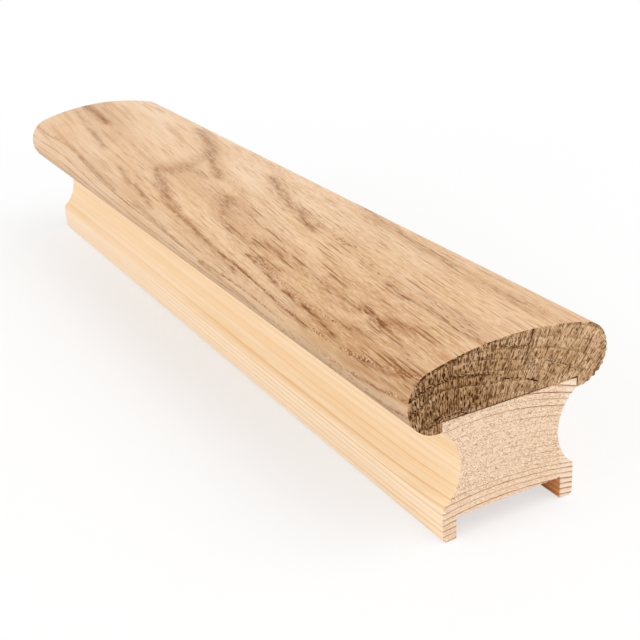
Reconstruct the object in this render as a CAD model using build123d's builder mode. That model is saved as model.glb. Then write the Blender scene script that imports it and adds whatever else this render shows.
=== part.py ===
"""A wooden stair handrail: an oak cap glued over the top of a grooved pine base.

The rail runs along X, Y is across it and Z is up. The origin is under the middle of the rail, at the level of
the two feet that it stands on. Sizes are in millimetres.
"""

import os

from build123d import *

# The rail
rail_length = 360.0

# The groove under the base, which takes the heads of 41 mm balusters, and the feet beside it
groove_width = 41.0
groove_depth = 8.0
foot_width = 5.25
foot_height = 12.0  # from the foot to the cove's lower edge
foot_outer_radius = 1.5
foot_inner_radius = 0.4

# The cove along each side of the base, where the fingertips go
cove_height = 27.5
cove_depth = 6.8
shoulder_radius = 1.2  # at the cove's lower edge

# The tongue on top of the base, which the cap's rebate drops over
tongue_height = 3.5
tongue_clearance = 0.2  # on each side, where the glue line shows as a thin gap

# The cap, with a low crown between two round noses
nose_radius = 11.0
lip_width = 1.0  # the flat underside between the tongue's face and the nose
crown_rise = 3.5  # how far the crown stands above the top of the noses

# What follows from these sizes
base_width = groove_width + 2 * foot_width
lip_height = foot_height + cove_height
base_height = lip_height + tongue_height
rebate_half_width = base_width / 2 + tongue_clearance
nose_centre = Vector(base_width / 2 + lip_width, lip_height + nose_radius)
crown_top = nose_centre.Y + nose_radius + crown_rise

# The crown is an arc tangent to both noses, which fixes its radius
nose_to_crown_top = crown_top - nose_centre.Y
crown_radius = (nose_centre.X**2 + nose_to_crown_top**2 - nose_radius**2) / (2 * crown_rise)
crown_centre = Vector(0, crown_top - crown_radius)
crown_end_angle = (nose_centre - crown_centre).get_angle(Vector(1, 0))

# Both sections are drawn on the rail's far end and run to the near end
far_end = Plane.YZ.offset(-rail_length / 2)


def long_edges_at(part, height):
    """The edges that run along the part at one height, in order from -Y to +Y."""
    return part.edges().filter_by(Axis.X).filter_by_position(Axis.Z, height, height).sort_by(Axis.Y)


# Pine base: one moulded length
with BuildPart() as pine_base:
    with BuildSketch(far_end):
        with BuildLine():
            foot = Polyline(
                (0, groove_depth),
                (groove_width / 2, groove_depth),
                (groove_width / 2, 0),
                (base_width / 2, 0),
                (base_width / 2, foot_height),
            )
            cove = SagittaArc(foot @ 1, (base_width / 2, lip_height), cove_depth)
            Polyline(cove @ 1, (base_width / 2, base_height), (0, base_height))
            mirror(about=Plane.YZ)
        make_face()
    extrude(amount=rail_length)
    fillet(long_edges_at(pine_base, foot_height), shoulder_radius)
    left_outer, left_inner, right_inner, right_outer = long_edges_at(pine_base, 0)
    fillet([left_inner, right_inner], foot_inner_radius)
    fillet([left_outer, right_outer], foot_outer_radius)
pine_base.part.label = "pine_base"

# Oak cap: one moulded length, with the rebate underneath
with BuildPart() as oak_cap:
    with BuildSketch(far_end):
        with BuildLine():
            CenterArc(crown_centre, crown_radius, 90, crown_end_angle - 90)
            nose = CenterArc(nose_centre, nose_radius, crown_end_angle, -90 - crown_end_angle)
            Polyline(
                nose @ 1,
                (rebate_half_width, lip_height),
                (rebate_half_width, base_height),
                (0, base_height),
            )
            mirror(about=Plane.YZ)
        make_face()
    extrude(amount=rail_length)
oak_cap.part.label = "oak_cap"

os.makedirs("parts", exist_ok=True)
for piece in (pine_base, oak_cap):
    export_step(piece.part, f"parts/{piece.part.label}.step")
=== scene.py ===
"""Looks of the wooden handrail: a crowned oak cap over a coved pine base, in soft studio light."""

import math

import bpy
import numpy as np
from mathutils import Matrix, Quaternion, Vector
from mathutils.geometry import delaunay_2d_cdt


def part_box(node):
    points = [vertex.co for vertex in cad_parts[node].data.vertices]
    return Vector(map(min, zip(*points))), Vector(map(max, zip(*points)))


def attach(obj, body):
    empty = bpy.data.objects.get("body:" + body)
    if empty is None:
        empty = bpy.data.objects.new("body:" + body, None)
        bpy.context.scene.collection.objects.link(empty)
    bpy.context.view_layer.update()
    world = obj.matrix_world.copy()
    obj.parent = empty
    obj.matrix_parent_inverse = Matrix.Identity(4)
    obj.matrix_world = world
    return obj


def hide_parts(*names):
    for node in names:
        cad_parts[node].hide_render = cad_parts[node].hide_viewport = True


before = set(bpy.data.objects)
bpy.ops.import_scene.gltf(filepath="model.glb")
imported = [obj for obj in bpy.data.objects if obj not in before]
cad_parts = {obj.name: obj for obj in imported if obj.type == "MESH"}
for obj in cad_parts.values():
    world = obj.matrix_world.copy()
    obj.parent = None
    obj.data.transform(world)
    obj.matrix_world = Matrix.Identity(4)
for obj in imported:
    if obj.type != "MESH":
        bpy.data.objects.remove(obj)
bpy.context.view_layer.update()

MM = 0.001

# The section, in millimetres, as the CAD model has it. Overall sizes come from the frame.
cap_low, cap_high = (np.array(corner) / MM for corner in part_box("oak_cap"))
base_high = np.array(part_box("pine_base")[1]) / MM
rail_length = cap_high[0] - cap_low[0]
near_x = cap_high[0]
lip_height = cap_low[2]
base_height = base_high[2]
base_half = base_high[1]
tongue_clearance = 0.2
rebate_half = base_half + tongue_clearance
nose_radius = 11.0
nose_y = cap_high[1] - nose_radius
nose_z = lip_height + nose_radius
crown_top = cap_high[2]
crown_rise = crown_top - nose_z - nose_radius
crown_radius = (nose_y**2 + (nose_radius + crown_rise) ** 2 - nose_radius**2) / (2 * crown_rise)
crown_z = crown_top - crown_radius
crown_end = math.atan2(nose_z - crown_z, nose_y)
groove_half = 20.5
groove_depth = 8.0
foot_height = 12.0
cove_depth = 6.8
foot_outer_radius = 1.5
foot_inner_radius = 0.4
shoulder_radius = 1.2


def arc(centre, radius, start, end, step):
    """Points along an arc, angles in radians, about one step apart."""
    count = max(2, int(abs(end - start) * radius / step) + 1)
    angles = np.linspace(start, end, count)
    return np.c_[centre[0] + radius * np.cos(angles), centre[1] + radius * np.sin(angles)]


def straight(start, end, step):
    """Points along a straight line, both ends included."""
    count = max(2, int(math.dist(start, end) / step) + 1)
    return np.linspace(start, end, count)


def joined(stretches):
    """One open outline from stretches that follow each other, with no point twice."""
    points = np.vstack(stretches)
    keep = np.r_[True, np.hypot(*np.diff(points, axis=0).T) > 1e-6]
    return points[keep]


def both_sides(right_half):
    """A closed outline, anticlockwise, from the right half that runs from bottom middle to top middle."""
    left_half = right_half[::-1] * [-1, 1]
    return joined([right_half, left_half[1:-1]])


def cap_outline(step):
    """The oak cap's section, with more points round the noses."""
    under_step, nose_step = 3 * step, 0.42 * step
    return both_sides(
        joined(
            [
                straight((0, base_height), (rebate_half, base_height), under_step),
                straight((rebate_half, base_height), (rebate_half, lip_height), step),
                straight((rebate_half, lip_height), (nose_y, lip_height), step),
                arc((nose_y, nose_z), nose_radius, -math.pi / 2, crown_end, nose_step),
                arc((0, crown_z), crown_radius, crown_end, math.pi / 2, step),
            ]
        )
    )


def rounded(corner, before, after, radius, step):
    """An arc that rounds a square corner between two straight sides, from the side towards before."""
    corner, before, after = (np.array(point, float) for point in (corner, before, after))
    in_dir = (corner - before) / np.linalg.norm(corner - before)
    out_dir = (after - corner) / np.linalg.norm(after - corner)
    turn = math.acos(np.clip(in_dir @ out_dir, -1, 1))
    reach = radius * math.tan(turn / 2)
    start, end = corner - in_dir * reach, corner + out_dir * reach
    side = np.array([-in_dir[1], in_dir[0]]) * np.sign(in_dir[0] * out_dir[1] - in_dir[1] * out_dir[0])
    centre = start + side * radius
    first = math.atan2(*(start - centre)[::-1])
    last = math.atan2(*(end - centre)[::-1])
    last += 2 * math.pi * round((first - last) / (2 * math.pi))
    return arc(centre, radius, first, last, step)


def base_outline(step):
    """The pine base's section."""
    half_chord = (lip_height - foot_height) / 2
    cove_radius = (half_chord**2 + cove_depth**2) / (2 * cove_depth)
    cove_centre = (base_half - cove_depth + cove_radius, foot_height + half_chord)
    half_turn = math.asin(half_chord / cove_radius)
    cove = arc(cove_centre, cove_radius, math.pi + half_turn, math.pi - half_turn, step)
    small = step / 4
    inner_corner, outer_corner = (groove_half, 0), (base_half, 0)
    shoulder = rounded(cove[0], outer_corner, cove[1], shoulder_radius, small)
    past_shoulder = np.hypot(*(cove - cove[0]).T) > shoulder_radius
    return both_sides(
        joined(
            [
                straight((0, groove_depth), (groove_half, groove_depth), 0.5 * step),
                rounded(inner_corner, (groove_half, groove_depth), outer_corner, foot_inner_radius, small),
                rounded(outer_corner, inner_corner, (base_half, foot_height), foot_outer_radius, small),
                shoulder,
                cove[past_shoulder],
                straight((base_half, lip_height), (base_half, base_height), step),
                straight((base_half, base_height), (0, base_height), 3 * step),
            ]
        )
    )


# Smooth noise for shapes: sums of sines, with directions and phases from a seeded generator
class Waves:
    """A smooth random function of several coordinates, about -1 to 1."""

    def __init__(self, seed, sizes, count=24):
        draw = np.random.default_rng(seed)
        directions = draw.normal(size=(count, len(sizes)))
        self.rates = directions / np.array(sizes)
        self.phases = draw.uniform(0, 2 * math.pi, count)
        self.scale = math.sqrt(2 / count)

    def __call__(self, *coordinates):
        points = np.stack(np.broadcast_arrays(*coordinates), -1)
        return np.sin(points @ self.rates.T + self.phases).sum(-1) * self.scale


# Growth rings of the oak. Each line is one ring's edge as it crosses the cap, with its ring number. On the
# top, a point is (distance from the near end, distance round the section from the bottom of the left nose).
# On the near end, a point is (across, up). A number between two rings only guides them.
OAK_LINES_ON_TOP = [
    (0, [(0, 20), (8, 18.7), (28, 16.5), (58, 15.6), (85, 17.6), (130, 17.5), (200, 19), (260, 21.5),
         (357, 25)]),
    (1, [(0, 27), (10, 25), (20, 23.2), (40, 22), (57, 20.8), (75, 21.5), (107, 23.8), (150, 26),
         (180, 28.5)]),
    (1, [(205, 31), (235, 33.5), (262, 36), (290, 39), (315, 42.5), (357, 48)]),
    (1.5, [(230, 52), (300, 62), (330, 66), (357, 70)]),
    (1.8, [(330, 85), (357, 88)]),
    (2, [(28, 33), (40, 29), (60, 27), (80, 27), (95, 29), (117, 31), (140, 34), (158, 41), (170, 49)]),
    (2, [(190, 58), (210, 62), (230, 69), (250, 78), (275, 87), (305, 94)]),
    (3, [(0, 51), (25, 52), (50, 52.5), (80, 55), (100, 58), (130, 62), (150, 65), (175, 74), (200, 83),
         (235, 93)]),
    (4, [(0, 81), (15, 78.5), (50, 80), (90, 83), (120, 87), (140, 93), (152, 99)]),
]
OAK_LINES_ON_END = [
    (-2, [(-28, 44), (-23, 45.2), (-16, 44)]),
    (-1, [(-28, 53), (-23, 53.5), (-13, 52), (-4, 50.3), (3, 49), (10, 46.5)]),
    (0, [(-33, 55.5), (-28, 56.7), (-23, 57.2), (-18, 56.6), (-8, 54.5), (2, 51.5), (12, 48.5), (18, 45.5)]),
    (1, [(-25, 61), (-13, 60.3), (-3, 57.8), (7, 55), (14, 52.8), (22, 49), (26, 44.5)]),
    (2, [(-20, 63.2), (-8, 61.7), (7, 58), (22, 53.5), (32, 47)]),
    (3, [(-10, 64.2), (7, 61.8), (22, 57.5), (34, 51)]),
    (4, [(20, 63), (32, 58.8), (37, 55)]),
]
OAK_PITH = (-25.0, -20.0)  # across and up, at the near end
OAK_PITH_CLIMB = 0.032  # towards the far end
OAK_FIRST_RING = 73.4
OAK_PITCH = 4.6
BEND_SIZES = (34.0, 8.0, 8.0)  # how far one point of a line bends the rings, along, across and up
BEND_SOFTNESS = 0.03
TRACE_STEP = 0.25  # between the points of the cap's outer curve


class CapTop:
    """Turns distances round the cap's outer curve into places across and up."""

    def __init__(self):
        right = np.vstack(
            [
                arc((nose_y, nose_z), nose_radius, -math.pi / 2, crown_end, TRACE_STEP),
                arc((0, crown_z), crown_radius, crown_end, math.pi / 2, TRACE_STEP)[1:],
            ]
        )
        self.curve = joined([right * [-1, 1], right[::-1][1:]])
        self.along = np.r_[0, np.cumsum(np.hypot(*np.diff(self.curve, axis=0).T))]

    def __call__(self, around):
        return np.c_[
            np.interp(around, self.along, self.curve[:, 0]), np.interp(around, self.along, self.curve[:, 1])
        ]


cap_top = CapTop()


def oak_base_rings(x, y, z):
    """The ring number with no bends: straight round rings about a slightly climbing pith."""
    pith_z = OAK_PITH[1] + OAK_PITH_CLIMB * (near_x - x)
    return (np.hypot(y - OAK_PITH[0], z - pith_z) - OAK_FIRST_RING) / OAK_PITCH


class OakRings:
    """The ring number anywhere in the oak: whole numbers are the rings' edges."""

    def __init__(self):
        places, numbers = [], []
        for number, line in OAK_LINES_ON_TOP:
            ends, around = np.array(line, float).T
            places.append(np.c_[near_x - ends, cap_top(around)])
            numbers += [number] * len(line)
        for number, line in OAK_LINES_ON_END:
            across, up = np.array(line, float).T
            places.append(np.c_[np.full(len(line), near_x), across, up])
            numbers += [number] * len(line)
        self.places = np.vstack(places)
        missed = np.array(numbers) - oak_base_rings(*self.places.T)
        pull = self.kernel(self.places) + BEND_SOFTNESS * np.eye(len(missed))
        self.weights = np.linalg.solve(pull, missed)

    def kernel(self, points):
        apart = (points[:, None] - self.places[None]) / BEND_SIZES
        return np.exp(-0.5 * (apart**2).sum(-1))

    def __call__(self, points):
        bends = np.concatenate([self.kernel(part) @ self.weights for part in np.array_split(points, 40)])
        return oak_base_rings(*points.T) + bends


# Darker flames and small knots on the top: (strength, half width, points as for the ring lines)
OAK_FLAMES = [
    (2.4, 0.9, [(34.5, 36.2), (37.5, 36.6)]),
    (2.0, 0.9, [(41.5, 37.8), (46.5, 38)]),
    (0.8, 1.2, [(29, 40), (34, 37)]),
    (0.8, 1.0, [(38, 29.5), (43, 28.5)]),
    (0.7, 0.8, [(0, 55), (40, 57)]),
    (1.3, 0.45, [(2, 14.6), (12, 13), (24, 12.4)]),
    (1.2, 0.45, [(0, 20.2), (8, 18.9), (14, 18)]),
    (1.1, 0.45, [(16, 17.8), (30, 16.5)]),
    (0.9, 0.45, [(62, 21), (92, 22.8)]),
    (1.2, 0.7, [(0, 51.3), (12, 50.4), (24, 52), (42, 51.6), (56, 53)]),
    (0.65, 1.3, [(50, 36), (75, 38), (110, 39), (118, 38.5)]),
    (0.8, 1.1, [(122, 36), (140, 36.5), (155, 38)]),
    (0.7, 2.2, [(158, 41), (165, 45), (171, 49)]),
    (0.65, 0.9, [(147, 48.3), (160, 48.5), (180, 49)]),
    (1.2, 1.5, [(205, 34.5), (218, 38.5), (230, 42.5)]),
    (0.85, 2.4, [(230, 42.5), (224, 47), (221, 53)]),
    (0.8, 1.2, [(204, 53), (224, 54)]),
    (0.7, 1.8, [(221, 53), (226, 60), (232, 69)]),
    (1.2, 1.5, [(197, 58), (215, 64), (232, 69)]),
    (1.2, 1.8, [(232, 69), (250, 78), (282, 87)]),
    (1.1, 1.3, [(116, 57.8), (132, 62.8), (141, 64), (156, 67.7), (185, 77)]),
    (1.5, 1.7, [(320, 52), (340, 54), (358, 55)]),
    (0.35, 4.5, [(315, 57), (358, 60)]),
    (0.9, 1.3, [(284, 37), (300, 39.5), (315, 42)]),
    (0.65, 1.2, [(325, 44), (358, 48)]),
    (0.6, 1.2, [(130, 62), (142, 61), (152, 65)]),
    (0.9, 2.0, [(0, 25.5), (8, 27.5)]),
    (0.65, 1.0, [(9, 31), (22, 34)]),
    (0.5, 0.9, [(29, 34), (33, 30)]),
    (0.5, 1.3, [(10, 78), (45, 79)]),
    (0.45, 1.3, [(60, 81), (100, 84), (130, 90)]),
    (0.9, 0.7, [(150, 26), (200, 31)]),
    (1.0, 0.8, [(180, 31), (215, 34.5)]),
    (0.9, 0.8, [(200, 25), (225, 29)]),
    (0.9, 0.8, [(230, 28.5), (250, 32)]),
    (0.9, 0.8, [(240, 22), (290, 25.5)]),
    (1.4, 0.6, [(46, 24), (56, 25.5), (65, 26.5), (75, 26.5), (91, 27.8), (104, 29.6), (117, 30.9)]),
    (0.9, 0.6, [(117, 22.7), (134, 25.5), (150, 26.5), (179, 28.4)]),
    (1.0, 0.5, [(0, 27.5), (6, 26), (14, 24), (26, 22.6)]),
    (0.9, 0.5, [(100, 14.8), (125, 16.5), (146, 17.2)]),
    (0.7, 0.7, [(180, 20.5), (215, 22)]),
]
# Broad browner zones of the wood, in the same form. The two rows along the nose's underside, at 6 round, are
# painted shade.
OAK_ZONES_AND_NOSE_SHADE = [
    (1.25, 7.5, [(-10, 38), (40, 40), (60, 44)]),
    (0.95, 5.5, [(60, 34), (120, 40), (165, 48)]),
    (2.2, 5.2, [(-10, 24.5), (50, 23.5)]),
    (0.5, 4.0, [(50, 22), (160, 24)]),
    # Painted shade: this row and the next darken the nose's underside
    (1.3, 6.0, [(-10, 6), (50, 6), (80, 4)]),
    (0.5, 5.0, [(60, 6), (360, 6)]),
    (0.45, 9.0, [(-10, 60), (80, 64)]),
    (0.6, 4.5, [(-10, 79), (60, 82), (110, 86)]),
    (0.3, 6.0, [(-10, 90), (90, 94)]),
    (0.65, 5.0, [(185, 45), (215, 50)]),
    (0.5, 6.0, [(300, 48), (360, 54)]),
    (0.4, 5.0, [(200, 25), (340, 32)]),
]
# Stretches where the rings hardly show on the top, in the same form
OAK_QUIET = [
    (0.85, 5.0, [(128, 33), (150, 37), (168, 47)]),
    (0.7, 3.0, [(60, 15.6), (75, 16.5)]),
    (0.6, 4.0, [(20, 33), (34, 31)]),
]
# Dotted dark rows on the near end, in the same form, with points (across, up)
OAK_END_ROWS = [
    (1.2, 0.45, [(-37, 53.8), (-31.5, 55.5), (-26.5, 56.5), (-21.5, 56.8), (-18, 56.2), (-14, 55.3)]),
    (0.7, 0.45, [(-14, 55.3), (-8, 54), (-4, 52.6)]),
    (1.1, 0.40, [(-3.5, 51.2), (0, 50.2), (3, 49.3)]),
    (1.1, 0.50, [(6, 48.3), (8, 47.6), (9.5, 46.4)]),
    (0.9, 0.35, [(13.5, 52.5), (18, 50.6), (22, 48.4), (25.5, 45.6)]),
    (0.7, 0.35, [(15.5, 50.6), (20, 48.4), (24, 46)]),
    (0.7, 0.40, [(-30, 53.2), (-24, 53.6), (-17, 52.8), (-8, 51.2)]),
    (0.7, 0.40, [(4.5, 54.2), (10, 52)]),
    (0.8, 0.40, [(-3.5, 62.2), (0, 60.5), (3.5, 60.2), (6.5, 60)]),
    (0.9, 0.50, [(-38, 49.6), (-33, 49.9)]),
    (1.0, 0.40, [(-30.5, 42.7), (-28, 43.4), (-26, 44.4), (-21.5, 44.7), (-17, 43.6)]),
    (1.0, 0.50, [(-34.5, 58.8), (-31, 60.6)]),
    (0.8, 0.40, [(-28, 61.3), (-20, 63), (-15, 63.7)]),
]
# Dark marks on the near end: (half width, softness, from, to), with points (across, up). The first two are a
# drying check.
OAK_END_MARKS = [
    (0.22, 0.16, (7.9, 65.5), (7.3, 62.6)),
    (0.15, 0.18, (7.3, 62.6), (6.5, 60.2)),
    (0.15, 0.7, (-33, 59.4), (-31.6, 60.4)),
    (0.10, 0.80, (-27.9, 44.6), (-26.8, 45.2)),
    (0.06, 0.40, (7.2, 47.8), (9.6, 46.6)),
    (0.12, 0.20, (23.6, 43.35), (25.9, 43.3)),
    (0.10, 0.20, (25.9, 43.3), (25.95, 41.2)),
    (0.03, 0.30, (-25.9, 43.2), (14, 43.2)),
]
FLAME_SQUASH = 0.35  # strokes fade slower along the grain than across it
SAW_SLANT = math.radians(-38)  # of the saw's marks on the near end


def painted(points, strokes):
    """How strong a set of strokes is at each of the points."""
    strength = np.zeros(len(points))
    for dark, half_width, line in strokes:
        line = np.array(line, float)
        nearest = np.full(len(points), np.inf)
        for start, end in zip(line[:-1], line[1:]):
            run = end - start
            part = np.clip(((points - start) @ run) / (run @ run), 0, 1)
            nearest = np.minimum(nearest, np.hypot(*(points - start - part[:, None] * run).T))
        strength = np.maximum(strength, dark * np.exp(-0.5 * (nearest / half_width) ** 2))
    return strength


def on_cap_top(strokes, u, around):
    """Strokes drawn on the top, at points on it."""
    squash = np.array([FLAME_SQUASH, 1])
    squashed = [(dark, half_width, np.array(line, float) * squash) for dark, half_width, line in strokes]
    return painted(np.c_[u, around] * squash, squashed)


# Growth rings of the pine: how high each ring's dark edge is at the top of its arc, and how dark it is
PINE_RINGS = [
    (-4.4, 0.8), (-2.2, 0.8), (-0.1, 0.8), (2.0, 0.8), (4.1, 0.8), (6.2, 1.3), (8.2, 1.0), (10.2, 1.1),
    (12.3, 0.65), (14.4, 0.95), (16.3, 0.65), (18.0, 0.35), (19.5, 0.45), (22.1, 0.4), (24.5, 0.38),
    (26.6, 0.2), (28.5, 0.4), (30.2, 0.38), (31.5, 0.15), (33.4, 0.25), (35.8, 0.65), (37.4, 0.33),
    (39.6, 1.05), (42.1, 0.5), (44.4, 1.3), (47.0, 1.0), (50.0, 1.0),
]
PINE_STRONG_RINGS = ((9.5, 0.7), (8.5, 0.55))  # strong lines on the side: place in that list, and depth
PINE_DIP = (1.8, 35.0)  # how far the rings sink behind the near end, and over what length
PINE_TILT = ((9, 16, 25, 36), (-0.026, 0, 0.024, 0.048))  # how much the rings lean across, at these heights
PINE_ARC_MIDDLE = -8.0
PINE_ARC_RADIUS = (150.0, 100.0)  # of the arcs at the foot and at the glue line
PINE_DRIFT = 0.45  # how far the rings wander along the rail
PINE_LINE_START, PINE_LINE_STOP = 0.35, 0.15  # in shares of a ring, above the edge below and above its own
PINE_FOOT_TOP = 17.2  # rings above this height are fainter to the left
PINE_STRENGTH_ABOVE = ((-14, 0, 13), (0.48, 0.6, 1.0))  # places across, and how strong the lines are there
PINE_STRENGTH_FOOT = ((18, 23), (1.0, 1.4))

pine_drift = Waves(seed=5, sizes=(140.0, 60.0, 60.0))


def pine_ring_height(x, y, z):
    """The height that a point's ring has at the top of its arc."""
    radius = np.interp(z, [0, base_height], PINE_ARC_RADIUS)
    dip = PINE_DIP[0] * (1 - np.exp((x - near_x) / PINE_DIP[1]))
    drift = PINE_DRIFT * (pine_drift(x, y, z) - pine_drift(near_x, y, z))
    return z + (y - PINE_ARC_MIDDLE) ** 2 / (2 * radius) + y * np.interp(z, *PINE_TILT) + dip + drift


def pine_line_strength(height, across):
    """How dark a point's ring is on an end face: above the foot, it is darker to the right."""
    heights, strengths = np.array(PINE_RINGS).T
    starts = heights[:-1] + PINE_LINE_START * np.diff(heights)
    stops = heights[1:] + PINE_LINE_STOP * np.diff(heights, append=heights[-1] + 1)[1:]
    places = np.c_[starts, stops].ravel()
    strength = np.interp(height, places, np.repeat(strengths[1:], 2))
    above = np.interp(across, *PINE_STRENGTH_ABOVE)
    foot = np.interp(across, *PINE_STRENGTH_FOOT)
    return strength * np.where(height > PINE_FOOT_TOP, above, foot)


# Both mouldings are built the same way: walls along the outline, and a finely divided face at each saw cut
WALL_STEP = 1.1
LENGTH_STEP = 1.5
END_STEP = 0.42
PLANED, SAWN = 0, 1  # the two materials of a moulding
ARRIS = 0.22
END_ROWS = (0, 0.3 * ARRIS, ARRIS, 0.6)  # how far back from the saw cut the close rows of wall points lie
END_MARGIN = 1.2  # how far back the evenly spaced rows start
ARRIS_STRIPS = 2  # strips of the wall at each end that are sawn
TEAR_LEFT = ((0, 0.25, 0.6, 1.2, 3), (1, 0.95, 0.8, 0.5, 0))  # distance from the cut, how torn it is there
GRID_ROW = 0.866  # height of a row of the end faces' triangles, in steps
GRID_JITTER = 0.18  # in steps
GRID_CLEARANCE = 0.45  # between the grid and the outline, in steps
SMOOTH_ANGLE = math.radians(35)


def inward(outline):
    """The unit vectors that point into an anticlockwise outline, one for each of its points."""
    run = np.roll(outline, -1, axis=0) - np.roll(outline, 1, axis=0)
    run /= np.hypot(*run.T)[:, None]
    return np.c_[-run[:, 1], run[:, 0]]


def fill(outline, step, seed):
    """Triangles over an outline: its own points first, then a jittered grid of points inside it."""
    draw = np.random.default_rng(seed)
    low, high = outline.min(0), outline.max(0)
    across = np.arange(low[0] + step / 2, high[0], step)
    up = np.arange(low[1] + step / 2, high[1], step * GRID_ROW)
    grid = np.array([(a + (i % 2) * step / 2, b) for i, b in enumerate(up) for a in across])
    grid += draw.uniform(-GRID_JITTER, GRID_JITTER, grid.shape) * step
    ends = np.roll(outline, -1, axis=0)
    inside = np.zeros(len(grid), bool)
    clear = np.full(len(grid), np.inf)
    for (y0, z0), (y1, z1) in zip(outline, ends):
        crosses = (z0 > grid[:, 1]) != (z1 > grid[:, 1])
        if z1 != z0:
            inside ^= crosses & (grid[:, 0] < (y1 - y0) * (grid[:, 1] - z0) / (z1 - z0) + y0)
        run = np.array([y1 - y0, z1 - z0])
        part = np.clip(((grid - [y0, z0]) @ run) / (run @ run), 0, 1)
        clear = np.minimum(clear, np.hypot(*(grid - [y0, z0] - part[:, None] * run).T))
    grid = grid[inside & (clear > GRID_CLEARANCE * step)]
    points = np.vstack([outline, grid])
    edges = [(i, (i + 1) % len(outline)) for i in range(len(outline))]
    found, _, faces, _, _, _ = delaunay_2d_cdt([Vector(p) for p in points], edges, [], 1, 1e-7)
    if len(found) != len(points):
        raise ValueError("the end face lost or gained points")
    return grid, faces


def moulding(name, outline, ragged, end_relief, seed):
    """A length of moulding, and its vertices in millimetres. ragged gives how far the saw tore each outline
    point back at an end, and end_relief how far each point of an end face lies behind the saw cut."""
    count = len(outline)
    into = inward(outline)
    middle = np.linspace(END_MARGIN - near_x, near_x - END_MARGIN, int(rail_length / LENGTH_STEP))
    at_end = near_x - np.array(END_ROWS)
    rows, vertices = [], []
    for x in (*-at_end, *middle, *at_end[::-1]):
        back = near_x - abs(x)
        shrink = max(ARRIS - back, 0) + ragged(outline, np.sign(x)) * np.interp(back, *TEAR_LEFT)
        rows.append(outline + into * shrink[:, None])
        vertices.append(np.c_[np.full(count, x), rows[-1]])
    faces, kinds = [], []
    strips = len(rows) - 1
    for i in range(strips):
        for j in range(count):
            k = (j + 1) % count
            faces.append((i * count + j, i * count + k, (i + 1) * count + k, (i + 1) * count + j))
            kinds.append(SAWN if i < ARRIS_STRIPS or i >= strips - ARRIS_STRIPS else PLANED)
    total = len(rows) * count
    for side, first in ((-1, 0), (1, strips * count)):
        rim = rows[0] if side < 0 else rows[-1]
        grid, triangles = fill(rim, END_STEP, seed + side)
        behind = end_relief(grid, side)
        vertices.append(np.c_[side * (near_x - behind), grid])
        at = lambda i: first + i if i < count else total + i - count
        for triangle in triangles:
            corners = [at(i) for i in triangle]
            faces.append(corners if side > 0 else corners[::-1])
            kinds.append(SAWN)
        total += len(grid)
    vertices = np.vstack(vertices)
    mesh = bpy.data.meshes.new(name)
    mesh.from_pydata(vertices * MM, [], faces)
    mesh.polygons.foreach_set("material_index", kinds)
    mesh.polygons.foreach_set("use_smooth", [True] * len(faces))
    mesh.validate()
    mesh.set_sharp_from_angle(angle=SMOOTH_ANGLE)
    piece = bpy.data.objects.new(name, mesh)
    bpy.context.scene.collection.objects.link(piece)
    return piece, vertices


def store(mesh, name, values):
    """Keeps a number or a vector for each of the mesh's vertices, as an attribute that a material reads."""
    kind, field = ("FLOAT_VECTOR", "vector") if values.ndim == 2 else ("FLOAT", "value")
    attribute = mesh.attributes.new(name, kind, "POINT")
    attribute.data.foreach_set(field, values.ravel().astype(np.float32))


# Materials are built from small node functions, each of which returns an output socket
FAR_NEARNESS, CLOSE_NEARNESS = 0.1, 0.7  # the oak's attribute near, at the far end and at the near end
DEEP = 50  # size along the fibres of an end face's patterns, so long that they don't change with its relief


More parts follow.
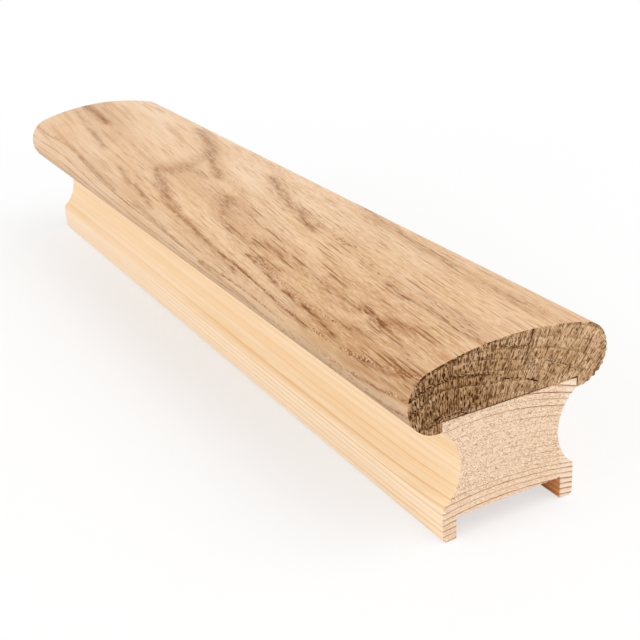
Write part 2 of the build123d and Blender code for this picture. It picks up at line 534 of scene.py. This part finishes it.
class Nodes:
    """A material's nodes. A value is a number, a colour, a vector or another node's output."""

    def __init__(self, name):
        self.material = bpy.data.materials.new(name)
        self.material.use_nodes = True
        self.tree = self.material.node_tree
        self.shader = self.tree.nodes["Principled BSDF"]

    def put(self, socket, value):
        if isinstance(value, bpy.types.NodeSocket):
            self.tree.links.new(value, socket)
        else:
            socket.default_value = value

    def add(self, kind, inputs=(), **settings):
        node = self.tree.nodes.new(kind)
        for key, value in settings.items():
            setattr(node, key, value)
        for key, value in dict(inputs).items():
            self.put(node.inputs[key], value)
        return node

    def stored(self, name, output="Fac"):
        """What the mesh stores under a name."""
        return self.add("ShaderNodeAttribute", attribute_name=name).outputs[output]

    def math(self, operation, *values, clamp=False):
        node = self.add("ShaderNodeMath", operation=operation, use_clamp=clamp)
        for socket, value in zip(node.inputs, values):
            self.put(socket, value)
        return node.outputs[0]

    def times(self, first, *factors, clamp=False):
        for factor in factors:
            first = self.math("MULTIPLY", first, factor, clamp=clamp)
        return first

    def plus(self, first, second):
        return self.math("ADD", first, second)

    def minus(self, first, second):
        return self.math("SUBTRACT", first, second)

    def most(self, first, second, clamp=False):
        return self.math("MAXIMUM", first, second, clamp=clamp)

    def vector(self, operation, first, second=None, output=0):
        node = self.add("ShaderNodeVectorMath", operation=operation)
        self.put(node.inputs[0], first)
        if second is not None:
            self.put(node.inputs[1], second)
        return node.outputs[output]

    def split(self, vector):
        return self.add("ShaderNodeSeparateXYZ", {"Vector": vector}).outputs

    def noise(self, vector, sizes, detail=2.0, roughness=0.5):
        """Smooth noise, about 0.3 to 0.7, with a size in each direction."""
        vector = self.vector("DIVIDE", vector, sizes)
        inputs = {"Vector": vector, "Scale": 1.0, "Detail": detail, "Roughness": roughness}
        return self.add("ShaderNodeTexNoise", inputs).outputs["Fac"]

    def cells(self, vector, sizes, randomness=1.0, flat=False):
        """Distance to the nearest of many scattered points; flat leaves the first coordinate out."""
        vector = self.vector("DIVIDE", vector, sizes)
        if flat:
            parts = self.split(vector)
            vector = self.add("ShaderNodeCombineXYZ", {"X": parts[1], "Y": parts[2]}).outputs[0]
        inputs = {"Vector": vector, "Scale": 1.0, "Randomness": randomness}
        kind = "2D" if flat else "3D"
        return self.add("ShaderNodeTexVoronoi", inputs, voronoi_dimensions=kind).outputs["Distance"]

    def span(self, value, low, high, to_low=0.0, to_high=1.0, kind="SMOOTHSTEP"):
        """The value's place between low and high, as a number from to_low to to_high."""
        inputs = {"Value": value, "From Min": low, "From Max": high, "To Min": to_low, "To Max": to_high}
        return self.add("ShaderNodeMapRange", inputs, interpolation_type=kind).outputs[0]

    def sway(self, value, pattern, amount):
        """The value, moved up or down by half the amount where the pattern is 1 or 0."""
        return self.plus(value, self.times(self.minus(pattern, 0.5), amount))

    def by_distance(self, far, close, full=0.6):
        """A number that changes from the far end to where the attribute near passes full."""
        return self.span(self.stored("near"), FAR_NEARNESS, full, far, close)

    def mix(self, amount, first, second):
        """A colour that goes from the first to the second as the amount goes from 0 to 1."""
        node = self.add("ShaderNodeMix", data_type="RGBA")
        self.put(node.inputs[0], amount)
        self.put(node.inputs[6], first)
        self.put(node.inputs[7], second)
        return node.outputs[2]

    def near_line(self, place, start, end):
        """Distance to the straight line between two points."""
        run = (Vector(end) - Vector(start)).to_3d()
        from_start = self.vector("SUBTRACT", place, Vector(start).to_3d())
        along = self.vector("DOT_PRODUCT", from_start, run, 1)
        reached = self.add("ShaderNodeVectorMath", operation="SCALE")
        self.put(reached.inputs[0], run)
        self.put(reached.inputs["Scale"], self.math("DIVIDE", along, run.length_squared, clamp=True))
        return self.vector("LENGTH", self.vector("SUBTRACT", from_start, reached.outputs[0]), None, 1)

    def finish(self, colour, roughness, specular, height, bump, bump_mm):
        """Gives the shader its colour, gloss and bump."""
        inputs = {"Height": height, "Strength": bump, "Distance": bump_mm * MM}
        self.put(self.shader.inputs["Base Color"], colour)
        self.put(self.shader.inputs["Roughness"], roughness)
        self.put(self.shader.inputs["Specular IOR Level"], specular)
        self.put(self.shader.inputs["Normal"], self.add("ShaderNodeBump", inputs).outputs[0])
        return self.material


def srgb(red, green, blue):
    """A colour given as 0 to 255 on screen, as the renderer's linear values."""
    def linear(v):
        v /= 255
        return v / 12.92 if v <= 0.04045 else ((v + 0.055) / 1.055) ** 2.4
    return (linear(red), linear(green), linear(blue), 1.0)


OAK_PALE = srgb(238, 207, 174)
OAK_MID = srgb(230, 192, 152)
# The next colour is browner wood, and also painted shade on the nose's underside
OAK_BROWN_AND_NOSE_SHADE = srgb(196, 150, 106)
OAK_BAND = srgb(184, 132, 84)
OAK_PORE = srgb(118, 66, 16)
OAK_FLAME = srgb(144, 88, 36)
# The next colour is painted shade, for the underside of the nose
OAK_NOSE_SHADE = srgb(162, 134, 108)
OAK_YELLOW = srgb(222, 186, 136)
OAK_END_PALE = srgb(250, 212, 170)
OAK_END_MID = srgb(212, 171, 126)
OAK_END_BROWN = srgb(128, 84, 40)
OAK_END_DARK = srgb(50, 16, 0)
PINE_PALE = srgb(254, 228, 194)
PINE_MID = srgb(249, 216, 173)
PINE_LINE = srgb(224, 170, 90)
# The next colour is painted light, for the foot's face below the cove
PINE_FOOT_LIT = srgb(255, 232, 206)
# The next colour is painted shade for the groove's faces
PINE_GROOVE_SHADE = srgb(214, 128, 10)
PINE_END_PALE = srgb(255, 232, 204)
PINE_END_MID = srgb(232, 194, 160)
PINE_END_LINE = srgb(140, 72, 32)
PINE_END_GLOW = srgb(220, 164, 104)
PINE_END_LEG = srgb(255, 240, 222)


def oak_face_rings(n, grain):
    """Each ring's early wood on the planed face, and the sharp edge that it starts with, both 0 to 1."""
    ring = n.sway(n.stored("rings"), n.noise(grain, (26, 5, 5), 3, 0.55), 0.24)
    ring = n.sway(ring, n.noise(grain, (4, 1.2, 1.2), 2, 0.6), 0.2)
    place = n.math("FRACT", ring)
    steep = n.stored("steep")
    patchy = n.noise(grain, (18, 4, 4), 2, 0.5)
    strength = n.times(n.span(patchy, 0.3, 0.6, 0.3, 1.0), n.by_distance(0.45, 1.0))
    strength = n.times(strength, n.span(n.stored("quiet"), 0.0, 1.0, 1.0, 0.0))
    start = n.span(steep, 0, 1, 0.12, 0.03)
    early = n.times(n.span(place, 0.0, start), n.span(place, 0.34, 0.06), strength)
    width = n.span(n.noise(grain, (7, 3, 3), 1, 0.5), 0.35, 0.65, 0.13, 0.34)
    edge = n.times(n.span(place, 0.0, 0.04), n.span(place, width, 0.1))
    return early, n.times(edge, n.times(strength, steep))


def oak_face_strokes(n, grain):
    """The drawn flames, knots and lines, broken up along the fibres."""
    ragged = n.noise(grain, (6, 1.1, 1.1), 3, 0.6)
    stroke = n.times(n.stored("strokes"), n.span(ragged, 0.32, 0.6, n.by_distance(0.6, 0.25, 0.5), 1.0))
    threads = n.noise(grain, (9, 0.45, 0.45), 2, 0.6)
    return n.times(stroke, n.span(threads, 0.4, 0.58, n.by_distance(0.85, 0.6, 0.4), 1.1))


def oak_face_pores(n, grain, crowd, zone_and_shade):
    """Long pores all over, thin and short ones where the figure crowds, and dots under the near nose."""
    deep = n.noise(grain, (25, 3, 3), 2, 0.5)
    reach = n.plus(n.span(zone_and_shade, 0.0, 1.0, 0.22, 0.28), n.times(crowd, 0.12))
    pores = n.span(n.minus(n.cells(grain, (36, 1.1, 1.1)), reach), 0.03, -0.1)
    pores = n.times(pores, n.span(deep, 0.3, 0.62, 0.3, 0.95), n.by_distance(0.5, 1.0, 0.7))
    thin = n.span(n.cells(grain, (15, 0.75, 0.75)), 0.27, 0.13)
    thin_depth = n.times(n.span(crowd, 0.0, 0.6, 0.55, 0.9), n.by_distance(0.15, 1.0))
    pores = n.most(pores, n.times(thin, thin_depth))
    short = n.span(n.minus(n.cells(grain, (4.2, 0.72, 0.72)), n.times(crowd, 0.46)), 0.0, -0.1)
    pores = n.most(pores, n.times(short, n.by_distance(0.3, 0.85)), clamp=True)
    pores = n.times(pores, n.span(n.stored("smooth"), 0.2, 1.0, 1.0, 0.3))
    dots = n.span(n.cells(grain, (4.0, 1.7, 1.7)), 0.26, 0.18)
    return n.most(pores, n.times(dots, n.span(n.stored("nose_shade_mask"), 0.1, 0.6, 0.0, 0.75)))


def oak_face():
    """Planed oak: soft tones and streaks first, then the rings' edges, the drawn strokes and the pores."""
    n = Nodes("oak_face")
    grain = n.stored("grain", "Vector")
    near = n.stored("near")
    early, edge = oak_face_rings(n, grain)
    stroke = oak_face_strokes(n, grain)
    blotch = n.noise(grain, (14, 2.2, 2.2), 3, 0.6)
    zone_and_shade = n.times(n.stored("zones_and_nose_shade"), n.span(blotch, 0.35, 0.62, 0.55, 1.0))
    pores = oak_face_pores(n, grain, n.most(early, stroke, clamp=True), zone_and_shade)
    plain = n.span(n.stored("smooth"), 0.0, 1.0, 1.0, 0.3)

    tone = n.noise(grain, (70, 9, 9), 3, 0.5)
    colour = n.mix(n.span(tone, 0.34, 0.74), OAK_MID, OAK_PALE)
    # Browner wood, and painted shade where the zones run along the nose's underside
    colour = n.mix(n.times(zone_and_shade, 0.8), colour, OAK_BROWN_AND_NOSE_SHADE)
    hue = n.noise(grain, (30, 6, 6), 2, 0.5)
    colour = n.mix(n.times(n.span(hue, 0.38, 0.62), n.by_distance(0.0, 0.35, 0.5)), colour, OAK_YELLOW)
    streak = n.noise(grain, (30, 0.55, 0.55), 4, 0.68)
    streak_depth = n.times(n.by_distance(0.3, 0.48, 0.5), plain)
    colour = n.mix(n.times(n.span(streak, 0.42, 0.66), streak_depth), colour, OAK_BAND)
    light_streak = n.span(n.noise(grain, (36, 0.8, 0.8), 3, 0.6), 0.52, 0.72)
    light_depth = n.times(n.span(zone_and_shade, 0.0, 1.0, 1.0, 0.5), n.by_distance(0.25, 0.42, 0.5))
    colour = n.mix(n.times(light_streak, light_depth), colour, OAK_PALE)
    far_streak = n.times(n.noise(grain, (70, 1.8, 1.8), 2, 0.5), n.by_distance(1.0, 0.6, 0.55))
    colour = n.mix(n.span(far_streak, 0.52, 0.66, 0.0, 0.38), colour, OAK_BAND)
    fleck = n.noise(grain, (4.5, 0.55, 0.55), 3, 0.65)
    fleck_depth = n.times(n.by_distance(0.12, 1.0, 0.7), n.span(zone_and_shade, 0.0, 1.0, 0.55, 1.0), plain)
    colour = n.mix(n.times(n.span(fleck, 0.5, 0.66, 0.0, 0.56), fleck_depth), colour, OAK_BAND)
    colour = n.mix(n.times(n.span(fleck, 0.5, 0.34, 0.0, 0.45), fleck_depth), colour, OAK_PALE)
    colour = n.mix(n.times(early, 0.34), colour, OAK_BAND)
    # Painted shade: the nose's underside, most near the near end, is mixed towards a grey brown
    colour = n.mix(n.times(n.stored("nose_shade_mask"), 0.8), colour, OAK_NOSE_SHADE)

    grit = n.noise(grain, (0.95, 0.62, 0.62), 1, 0.5)
    pale_grit = n.times(n.span(grit, 0.5, 0.42), n.span(near, 0.5, 0.68, 0.0, 0.6))
    dark_grit = n.most(n.span(grit, 0.5, 0.56), n.span(near, 0.5, 0.68, 0.35, 0.0))
    colour = n.mix(n.times(edge, 0.3), colour, OAK_BAND)
    colour = n.mix(n.times(edge, pale_grit), colour, OAK_PALE)
    colour = n.mix(n.times(edge, n.times(dark_grit, 0.95)), colour, OAK_FLAME)
    colour = n.mix(n.times(stroke, n.by_distance(0.5, 0.7, 0.5), clamp=True), colour, OAK_FLAME)
    knot = n.times(n.span(stroke, 1.1, 1.9), n.span(grit, 0.35, 0.6, 0.35, 0.85))
    colour = n.mix(knot, colour, OAK_PORE)
    colour = n.mix(n.times(pores, 0.72), colour, OAK_PORE)

    roughness = n.plus(n.span(streak, 0.3, 0.7, 0.5, 0.64), n.times(pores, 0.15))
    height = n.minus(n.times(streak, 0.25), pores)
    return n.finish(colour, roughness, specular=0.3, height=height, bump=0.4, bump_mm=0.15)


def oak_end():
    """Sawn oak end grain: dark pores along the rays, dotted rows of them at the rings, paler to the right."""
    n = Nodes("oak_end")
    grain = n.stored("grain", "Vector")
    section = n.stored("section", "Vector")
    ring = n.sway(n.stored("rings"), n.noise(grain, (DEEP, 2.2, 1.5), 3, 0.6), 0.16)
    place = n.math("FRACT", ring)
    early = n.times(n.span(place, 0.0, 0.02), n.span(place, 0.26, 0.14))
    uneven = n.times(n.noise(grain, (DEEP, 8, 8), 2, 0.5), 30)
    pale_side = n.span(n.plus(n.split(section)[0], uneven), -28, 50)

    def from_left(left, right):
        return n.span(pale_side, 0, 1, left, right)

    late = n.times(n.span(place, 0.45, 0.95, 1.0, 0.7), from_left(1.0, 0.8))
    size = n.noise(grain, (DEEP, 4, 2.5), 2, 0.5)
    reach = n.times(n.span(size, 0.3, 0.7, 0.13, 0.27), late)
    large = n.span(n.minus(n.cells(grain, (DEEP, 1.5, 3.6), 0.95, True), reach), 0.03, -0.05)
    reach = n.times(n.span(size, 0.7, 0.3, 0.27, 0.42), late)
    small = n.span(n.minus(n.cells(grain, (DEEP, 0.85, 2.6), 0.85, True), reach), 0.05, -0.12)
    dark = n.times(n.most(n.times(large, 1.1), n.times(small, 0.74)), from_left(1.0, 0.52))
    stripes = n.span(n.noise(grain, (DEEP, 0.4, 5.0), 1, 0.5), 0.43, 0.6)
    broken = n.span(n.noise(grain, (DEEP, 0.8, 1.3), 2, 0.6), 0.38, 0.58, 0.3, 1.0)
    dark = n.most(dark, n.times(stripes, broken, from_left(0.8, 0.7)))
    dots = n.span(n.cells(grain, (DEEP, 0.9, 0.6), 0.9, True), 0.45, 0.3)
    row = n.most(n.times(early, 0.45), n.stored("rows"))
    dark = n.most(dark, n.times(row, n.span(dots, 0, 1, 0.3, from_left(1.4, 0.95))))
    flat = n.vector("MULTIPLY", section, (1, 1, 0))
    for half_width, softness, start, end in OAK_END_MARKS:
        mark = n.span(n.near_line(flat, start, end), half_width + softness, half_width)
        dark = n.most(dark, mark, clamp=True)

    tone = n.noise(grain, (DEEP, 9, 6), 2, 0.5)
    colour = n.mix(n.span(tone, 0.3, 0.7), OAK_END_MID, OAK_END_PALE)
    colour = n.mix(n.span(place, 0.6, 0.9, 0.0, 0.5), colour, OAK_END_PALE)
    colour = n.mix(from_left(0.36, 0.06), colour, OAK_END_BROWN)
    mottle = n.noise(grain, (DEEP, 0.9, 2.2), 3, 0.6)
    colour = n.mix(n.span(mottle, 0.42, 0.66, 0.0, 0.4), colour, OAK_END_BROWN)
    tilted = n.add("ShaderNodeVectorRotate", {"Vector": section, "Angle": SAW_SLANT}, rotation_type="Z_AXIS")
    saw = n.noise(tilted.outputs[0], (0.32, 9, 9), 2, 0.6)
    colour = n.mix(n.span(saw, 0.35, 0.65, 0.0, 0.3), colour, OAK_END_BROWN)
    colour = n.mix(n.span(dark, 0.0, 0.7, 0.0, 0.75, "LINEAR"), colour, OAK_END_BROWN)
    colour = n.mix(n.span(dark, 0.3, 1.05, 0.0, 1.0, "LINEAR"), colour, OAK_END_DARK)
    height = n.minus(n.times(saw, 0.4), dark)
    return n.finish(colour, roughness=0.9, specular=0.06, height=height, bump=0.5, bump_mm=0.25)


def pine_lines(n, grain, wander_sizes, wander, start, stop=0.96):
    """How dark each ring's late wood is, 0 to 1, fading in from the ring's early wood and ending sharply."""
    ring = n.sway(n.stored("rings"), n.noise(grain, wander_sizes, 2, 0.5), wander)
    place = n.math("FRACT", ring)
    return n.times(n.span(place, start, 0.94), n.span(place, 1.0, stop))


def pine_face():
    """Planed pine: pale straight lines along the rail, and painted shade, darker and more orange, in the
    groove.
    """
    n = Nodes("pine_face")
    grain = n.stored("grain", "Vector")
    near = n.stored("near")
    late = pine_lines(n, grain, (60, 6, 1.5), 0.3, 0.5, 0.84)
    depth = n.span(n.noise(grain, (300, 60, 2.2), 1, 0.5), 0.35, 0.65, 0.18, 0.46)
    for middle, strength in PINE_STRONG_RINGS:
        off = n.math("ABSOLUTE", n.minus(n.stored("rings"), middle))
        depth = n.most(depth, n.span(off, 0.6, 0.5, 0.0, strength))
    up = n.split(n.stored("section", "Vector"))[1]
    foot = n.span(up, foot_height + 0.3, foot_height - 0.3)
    depth = n.times(depth, n.span(foot, 0.0, 1.0, 1.0, 1.6))

    tone = n.noise(grain, (140, 8, 4), 2, 0.5)
    colour = n.mix(n.span(tone, 0.3, 0.7), PINE_MID, PINE_PALE)
    # Painted light: the foot's face below the cove is paler, as if it faced the lamps
    colour = n.mix(n.times(foot, 0.55), colour, PINE_FOOT_LIT)
    colour = n.mix(n.times(late, n.times(depth, near)), colour, PINE_LINE)
    fibre = n.noise(grain, (24, 0.5, 0.5), 3, 0.6)
    colour = n.mix(n.times(n.span(fibre, 0.45, 0.7, 0.0, 0.22), near), colour, PINE_LINE)
    # Painted shade: the groove's faces are darkened towards orange brown, in uneven patches
    groove_shade_patches = n.span(n.noise(grain, (60, 3, 0.7), 2, 0.5), 0.35, 0.65, 0.6, 1.0)
    colour = n.mix(n.times(n.stored("groove"), groove_shade_patches), colour, PINE_GROOVE_SHADE)
    roughness = n.span(fibre, 0.3, 0.7, 0.48, 0.6)
    return n.finish(colour, roughness, specular=0.3, height=fibre, bump=0.15, bump_mm=0.08)


def pine_end():
    """Sawn pine end grain: red-brown late wood in arcs, with a fine speckle from the saw."""
    n = Nodes("pine_end")
    grain = n.stored("grain", "Vector")
    section = n.stored("section", "Vector")
    across, up, _ = n.split(section)
    speck = n.noise(section, (0.42, 0.3, DEEP), 2, 0.7)
    dashes = n.noise(grain, (DEEP, 1.3, 0.28), 2, 0.6)
    calm = n.span(up, 9, 17, 0.35, 1.0)
    colour = n.mix(n.span(speck, 0.38, 0.62), PINE_END_MID, PINE_END_PALE)
    colour = n.mix(n.times(n.span(speck, 0.45, 0.28, 0.0, 0.95), calm), colour, PINE_END_LINE)
    colour = n.mix(n.times(n.span(dashes, 0.42, 0.28, 0.0, 0.75), calm), colour, PINE_END_LINE)

    wander = ((DEEP, 5, 3), 0.2)
    patch = n.noise(grain, (DEEP, 4, 0.8), 2, 0.6)
    strength = n.times(n.stored("contrast"), n.span(patch, 0.3, 0.55, 0.6, 1.0))
    right_leg = n.span(across, 19, 22)
    colour = n.mix(n.times(right_leg, 0.5), colour, PINE_END_LEG)
    glow = n.times(pine_lines(n, grain, *wander, start=0.4), strength)
    colour = n.mix(n.times(glow, n.span(right_leg, 0.0, 1.0, 0.2, 0.6)), colour, PINE_END_GLOW)
    late = pine_lines(n, grain, *wander, start=0.8)
    colour = n.mix(n.times(late, strength, clamp=True), colour, PINE_END_LINE)
    return n.finish(colour, roughness=0.8, specular=0.2, height=speck, bump=0.35, bump_mm=0.12)


# The fibres drift to the right towards the far end, and spread: (distance from the near end, drift in each
# millimetre at the middle, and how much more it is for each millimetre to the right)
FIBRE_DRIFT = (
    (0, 0.07, 0.001), (90, 0.12, 0.0015), (140, 0.15, 0.003), (200, 0.17, 0.004), (290, 0.14, 0.002),
)


def oak_grain(points):
    """Places in the oak that follow the wood: along the fibres, round the rings and outwards."""
    x, y, z = points.T
    u = near_x - x
    steps = np.arange(rail_length + 2)
    places, drifts, spreads = np.array(FIBRE_DRIFT).T
    spread = np.exp(np.cumsum(np.interp(steps, places, spreads)))
    drift = spread * np.cumsum(np.interp(steps, places, drifts) / spread)
    straightened = (y - np.interp(u, steps, drift)) / np.interp(u, steps, spread)
    angle = np.arctan2(straightened - OAK_PITH[0], z - OAK_PITH[1])
    distance = np.hypot(y - OAK_PITH[0], z - OAK_PITH[1] - OAK_PITH_CLIMB * u)
    return np.c_[x, angle * OAK_FIRST_RING, distance]


# What the saw did to the ends
RELIEF_SHIFT, TEAR_SHIFT = 3.0, 5.0  # set the patterns of the two ends apart
CHIP_ACROSS = ((25, 28, 31), (0, 0.5, 1))  # places across, and how much of the chip is there
CHIP_UP = ((53, 57), (1, 0))
BREAK_PLACE, BREAK_SIZE = (33, 42), 1.6
EDGE_TEAR, CHIP_TEAR, BREAK_TEAR = 0.08, 0.95, 1.3
ROOF_MARGIN = 0.5
ROOF_TEAR = ((-20, 20), (1.5, 4.5))  # places across, and how much deeper the groove's roof is torn


def relief(seed, sizes, depth):
    """How far each point of an end face lies behind the cut, 0 to depth."""
    waves = Waves(seed, sizes, 60)
    return lambda points, side: depth * (0.5 + 0.5 * np.clip(waves(*points.T, side * RELIEF_SHIFT), -1, 1))


def torn(seed, pitch, depth, where):
    """A torn edge: small uneven bites into the outline, about one pitch apart, as deep as where says."""
    sway = Waves(seed, (pitch * 3, pitch * 3, 1.0), 30)

    def cut(outline, side):
        along = np.r_[0, np.cumsum(np.hypot(*np.diff(outline, axis=0).T))]
        uneven = np.clip(sway(*outline.T, side * TEAR_SHIFT), -1, 1)
        bites = np.sin(math.pi * along / pitch + 1.2 * uneven) ** 2 * (0.7 + 0.3 * uneven)
        return depth * np.clip(bites, 0, 1) * where(outline, side)

    return cut


def lower_right(outline, side):
    """The saw broke out of the cap at its lower right, seen from the near end."""
    across, up = outline.T
    chipped = np.interp(across, *CHIP_ACROSS) * np.interp(up, *CHIP_UP)
    broken = np.exp(-0.5 * (np.hypot(across - BREAK_PLACE[0], up - BREAK_PLACE[1]) / BREAK_SIZE) ** 2)
    return EDGE_TEAR + (CHIP_TEAR * chipped + BREAK_TEAR * broken) * (side > 0)


def groove_roof(outline, side):
    """The saw tore the pine a little all round, and more along the roof of the groove towards its right."""
    across, up = outline.T
    roof = (abs(across) < groove_half - ROOF_MARGIN) & (abs(up - groove_depth) < ROOF_MARGIN)
    return 1 + roof * np.interp(across, *ROOF_TEAR)


# How the marks change over the faces, as places and the values there. Along is the distance from the near
# end, and around is the distance round the cap's section from the bottom of the left nose.
NEAR_ALONG = ((60, 260), (CLOSE_NEARNESS, FAR_NEARNESS))
PLAIN_NOSE_AROUND, PLAIN_NOSE_ALONG = ((19, 25), (1, 0)), ((60, 160), (1, 0.3))
PLAIN_FAR_ALONG = ((225, 300), (0, 0.8))
STEEP_FROM_RIDGE = ((24, 34), (0.05, 1))
# Where shade is painted on the nose's underside: round the section, and along the rail
NOSE_SHADE_AROUND, NOSE_SHADE_ALONG = ((9, 19), (1, 0)), ((60, 180), (1, 0.4))
PINE_NEAR_ALONG = ((0, 120, 260), (1, 0.8, 0.35))
RING_OFFSET = 10  # keeps the oak's ring numbers above 0
TOP_MARGIN = 1.0  # how far from the outer curve a point still counts as on it
GROOVE_MARGIN = 0.1

oak_rings = OakRings()
oak, oak_points = moulding(
    "oak_moulding",
    cap_outline(WALL_STEP),
    torn(seed=11, pitch=2.4, depth=1.0, where=lower_right),
    relief(seed=21, sizes=(0.9, 2.5, 1.0), depth=0.12),
    seed=31,
)
nearest = np.array([np.argmin(np.hypot(*(cap_top.curve - p).T)) for p in oak_points[:, 1:]])
on_top = np.hypot(*(cap_top.curve[nearest] - oak_points[:, 1:]).T) < TOP_MARGIN
along, around = near_x - oak_points[:, 0], cap_top.along[nearest]
from_ridge = abs(around - cap_top.along[-1] / 2)
plain_nose = np.interp(around, *PLAIN_NOSE_AROUND) * np.interp(along, *PLAIN_NOSE_ALONG)
store(oak.data, "rings", oak_rings(oak_points) + RING_OFFSET)
store(oak.data, "grain", oak_grain(oak_points))
store(oak.data, "section", oak_points[:, [1, 2, 0]])
for name, strokes in (("strokes", OAK_FLAMES), ("zones_and_nose_shade", OAK_ZONES_AND_NOSE_SHADE), ("quiet", OAK_QUIET)):
    store(oak.data, name, on_cap_top(strokes, along, around) * on_top)
store(oak.data, "rows", painted(oak_points[:, 1:], OAK_END_ROWS) * (oak_points[:, 0] > 0))
store(oak.data, "smooth", np.maximum(plain_nose, np.interp(along, *PLAIN_FAR_ALONG)))
store(oak.data, "steep", np.interp(from_ridge, *STEEP_FROM_RIDGE))
# The mask of the painted shade on the nose's underside
store(oak.data, "nose_shade_mask", np.interp(around, *NOSE_SHADE_AROUND) * np.interp(along, *NOSE_SHADE_ALONG))
store(oak.data, "near", np.interp(along, *NEAR_ALONG))
oak.data.materials.append(oak_face())
oak.data.materials.append(oak_end())

pine, pine_points = moulding(
    "pine_moulding",
    base_outline(WALL_STEP),
    torn(seed=12, pitch=2.0, depth=0.12, where=groove_roof),
    relief(seed=22, sizes=(0.8, 0.8, 1.0), depth=0.08),
    seed=41,
)
along, across, up = near_x - pine_points[:, 0], pine_points[:, 1], pine_points[:, 2]
height = pine_ring_height(*pine_points.T)
in_groove = (abs(across) < groove_half + GROOVE_MARGIN) & (up < groove_depth + GROOVE_MARGIN)
store(pine.data, "rings", np.interp(height, np.array(PINE_RINGS)[:, 0], range(len(PINE_RINGS))))
store(pine.data, "grain", np.c_[pine_points[:, :2], height])
store(pine.data, "section", pine_points[:, [1, 2, 0]])
store(pine.data, "near", np.interp(along, *PINE_NEAR_ALONG))
store(pine.data, "contrast", pine_line_strength(height, across))
# The groove's faces, where the pine's shade is painted
store(pine.data, "groove", in_groove.astype(float))
pine.data.materials.append(pine_face())
pine.data.materials.append(pine_end())

for piece, node, slot in ((oak, "oak_cap", "oak"), (pine, "pine_base", "pine")):
    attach(piece, "root")
    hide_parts(node)


def seen_as_is(tree):
    """1 for the rays that see the background as it is: those from the camera, in gloss and through glass."""
    path = tree.nodes.new("ShaderNodeLightPath")
    seen = path.outputs["Is Camera Ray"]
    for ray in ("Is Glossy Ray", "Is Transmission Ray"):
        either = tree.nodes.new("ShaderNodeMath")
        either.operation = "MAXIMUM"
        tree.links.new(seen, either.inputs[0])
        tree.links.new(path.outputs[ray], either.inputs[1])
        seen = either.outputs[0]
    return seen


# Floor: it keeps the object's shadow, and is plain white away from the object
FLOOR_SIZE = 6
FLOOR_GREY = 0.9
WHITE_REACH, WHITENESS = (0.0, 0.45), (0.45, 1.0)  # metres from the middle, and how white it is there
bpy.ops.mesh.primitive_plane_add(size=FLOOR_SIZE, location=(0, 0, 0))
floor = bpy.context.object
floor.name = "floor"
n = Nodes("floor")
n.shader.inputs["Base Color"].default_value = (FLOOR_GREY, FLOOR_GREY, FLOOR_GREY, 1)
n.shader.inputs["Roughness"].default_value = 0.9
n.shader.inputs["Specular IOR Level"].default_value = 0.0
away = n.vector("LENGTH", n.add("ShaderNodeNewGeometry").outputs["Position"], output=1)
white = n.add("ShaderNodeEmission", {"Color": (1, 1, 1, 1), "Strength": 1.0})
whiter = n.times(seen_as_is(n.tree), n.span(away, *WHITE_REACH, *WHITENESS))
mixed = n.add("ShaderNodeMixShader", {0: whiter, 1: n.shader.outputs[0], 2: white.outputs[0]})
n.put(n.tree.nodes["Material Output"].inputs["Surface"], mixed.outputs[0])
floor.data.materials.append(n.material)

# World and lights
SKY_LIGHT, SKY_SEEN = 0.72, 1.0
world = bpy.data.worlds.new("studio")
bpy.context.scene.world = world
world.use_nodes = True
sky = world.node_tree.nodes["Background"]
sky.inputs["Color"].default_value = (1, 1, 1, 1)
strength = world.node_tree.nodes.new("ShaderNodeMapRange")
strength.inputs["To Min"].default_value = SKY_LIGHT
strength.inputs["To Max"].default_value = SKY_SEEN
world.node_tree.links.new(seen_as_is(world.node_tree), strength.inputs["Value"])
world.node_tree.links.new(strength.outputs[0], sky.inputs["Strength"])


def softbox(name, place, size, power):
    """A square area light that faces the middle of the object's foot, in metres and watts."""
    light = bpy.data.lights.new(name, "AREA")
    light.shape = "SQUARE"
    light.size = size
    light.energy = power
    lamp = bpy.data.objects.new(name, light)
    lamp.location = place
    lamp.rotation_euler = (-Vector(place)).to_track_quat("-Z", "Y").to_euler()
    bpy.context.scene.collection.objects.link(lamp)


softbox("key", place=(0.7, 0.7, 1.5), size=1.4, power=13)
softbox("fill", place=(0.0, -1.5, 0.75), size=1.2, power=7.5)

# Camera, where the photograph's was
CAMERA_PLACE = Vector((0.43591, -0.20299, 0.21830))
CAMERA_LOOKS = Vector((-0.80206, 0.43266, -0.41170))
CAMERA_ROLL = math.radians(-3.06)
camera = bpy.data.cameras.new("camera")
camera.lens = 67.32
camera.sensor_width = 36
camera.clip_start = 0.01
shot = bpy.data.objects.new("camera", camera)
shot.location = CAMERA_PLACE
turn = CAMERA_LOOKS.to_track_quat("-Z", "Y") @ Quaternion((0, 0, 1), CAMERA_ROLL)
shot.rotation_euler = turn.to_euler()
bpy.context.scene.collection.objects.link(shot)
bpy.context.scene.camera = shot
bpy.context.scene.view_settings.view_transform = "Standard"
